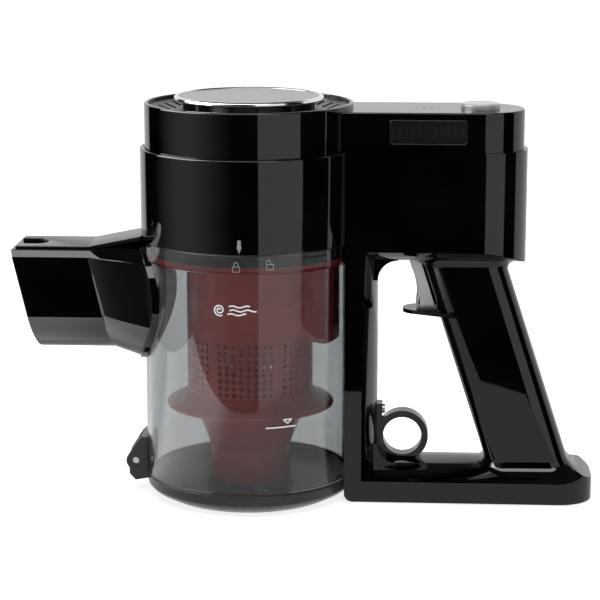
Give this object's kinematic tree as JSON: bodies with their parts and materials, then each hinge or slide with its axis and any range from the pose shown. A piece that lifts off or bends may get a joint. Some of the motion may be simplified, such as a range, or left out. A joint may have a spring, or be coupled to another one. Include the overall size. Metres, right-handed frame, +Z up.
{
  "type": "handheld vacuum",
  "caption": "Cordless handheld cyclone vacuum with a clear twist-off bin, side inlet nozzle, motor barrel, battery box and slanted loop grip with trigger.",
  "frame": {"origin": "on the cyclone's axis, at the underside of the bin door, which is the level the vacuum stands on", "axes": "+X from the cyclone axis towards the handle, -X out of the inlet nozzle, +Z up along the cyclone axis; -Y is the side seen in the picture"},
  "size_m": [0.3481, 0.13, 0.242],
  "materials": {
    "gloss_black": "high gloss moulded",
    "satin_black": "satin moulded",
    "vent_grey": "fine texture",
    "door_grey": "semi gloss",
    "smoke_clear": "clear smoke tint",
    "cyclone_red": "semi gloss",
    "brushed_silver": "brushed",
    "chrome": "mirror",
    "silver_paint": "satin silver paint",
    "steel": "plain",
    "motor_metal": "cast",
    "copper_stack": "laminated",
    "cell_wrap": "shrink wrap",
    "board_green": "solder mask",
    "light_pipe": "translucent",
    "rubber": "matt",
    "filter_white": "pleated"
  },
  "bodies": {
    "body": {"barrel_housing": "gloss_black", "bayonet_ring": "satin_black", "exhaust_grille": "vent_grey", "motor_deck": "vent_grey", "motor_case": "motor_metal", "motor_mounts": "rubber", "motor_bearings": "steel", "stator": "copper_stack", "frame_front_shell": "gloss_black", "frame_rear_shell": "gloss_black", "housing_screws": "steel", "foot_pads": "rubber", "box_cover": "gloss_black", "vent_grille_front": "satin_black", "vent_grille_rear": "satin_black", "status_lights": "light_pipe", "circuit_board": "board_green", "battery_cells": "cell_wrap", "battery_holder": "satin_black", "charge_jack": "satin_black", "trigger_guard": "gloss_black", "trigger_pin": "steel", "trigger_spring": "steel", "trigger_switch": "satin_black", "hanging_ring": "gloss_black", "ring_screw": "steel"},
    "rotor": {"motor_shaft": "steel", "impeller": "motor_metal", "rotor_core": "steel"},
    "filter_cap": {"cap_frame": "vent_grey", "cap_disc": "brushed_silver", "cap_rim": "chrome", "exhaust_filter": "filter_white"},
    "trigger": {"trigger": "silver_paint"},
    "power_button": {"power_button": "silver_paint", "button_spring": "steel"},
    "bin": {"bin_shell": "smoke_clear", "nozzle": "gloss_black", "nozzle_strip": "satin_black", "inlet_flange": "gloss_black", "inlet_sleeve": "satin_black", "hinge_bracket": "satin_black", "hinge_pin": "steel", "latch_bracket": "satin_black", "latch_pin": "steel", "shroud": "cyclone_red", "cyclone_cone": "cyclone_red", "dust_tube": "cyclone_red", "guide_vane": "cyclone_red", "pre_filter": "filter_white"},
    "bin_door": {"door_pan": "door_grey", "door_liner": "door_grey", "door_seal": "rubber"},
    "door_latch": {"door_latch": "satin_black"}
  },
  "joints": [
    {"name": "rotor_spin", "type": "hinge", "parent": "body", "child": "rotor", "pos_m": [0, 0, 0.19], "axis": [0, 0, 1], "continuous": true},
    {"name": "cap_lift", "type": "slide", "parent": "body", "child": "filter_cap", "axis": [0, 0, 1], "range_m": [0, 0.03]},
    {"name": "trigger_press", "type": "hinge", "parent": "body", "child": "trigger", "pos_m": [0.10654, 0, 0.158], "axis": [0, -1, 0], "range_deg": [0, 6], "stiffness_Nm_per_rad": 0.5, "springref_deg": -8.59},
    {"name": "button_press", "type": "slide", "parent": "body", "child": "power_button", "axis": [0, 0, -1], "range_m": [0, 0.0015], "stiffness_N_per_m": 800, "springref_m": -0.002, "deforming": ["button_spring"]},
    {"name": "bin_turn", "type": "hinge", "parent": "body", "child": "bin", "pos_m": [0, 0, 0.08], "axis": [0, 0, 1], "range_deg": [-18.4, 0]},
    {"name": "door_swing", "type": "hinge", "parent": "bin", "child": "bin_door", "pos_m": [-0.0692, 0, 0.0196], "axis": [0, 1, 0], "range_deg": [0, 95]},
    {"name": "latch_press", "type": "hinge", "parent": "bin", "child": "door_latch", "pos_m": [0.0649, 0, 0.024], "axis": [0, -1, 0], "range_deg": [0, 5], "stiffness_Nm_per_rad": 0.05, "springref_deg": -11.46}
  ]
}
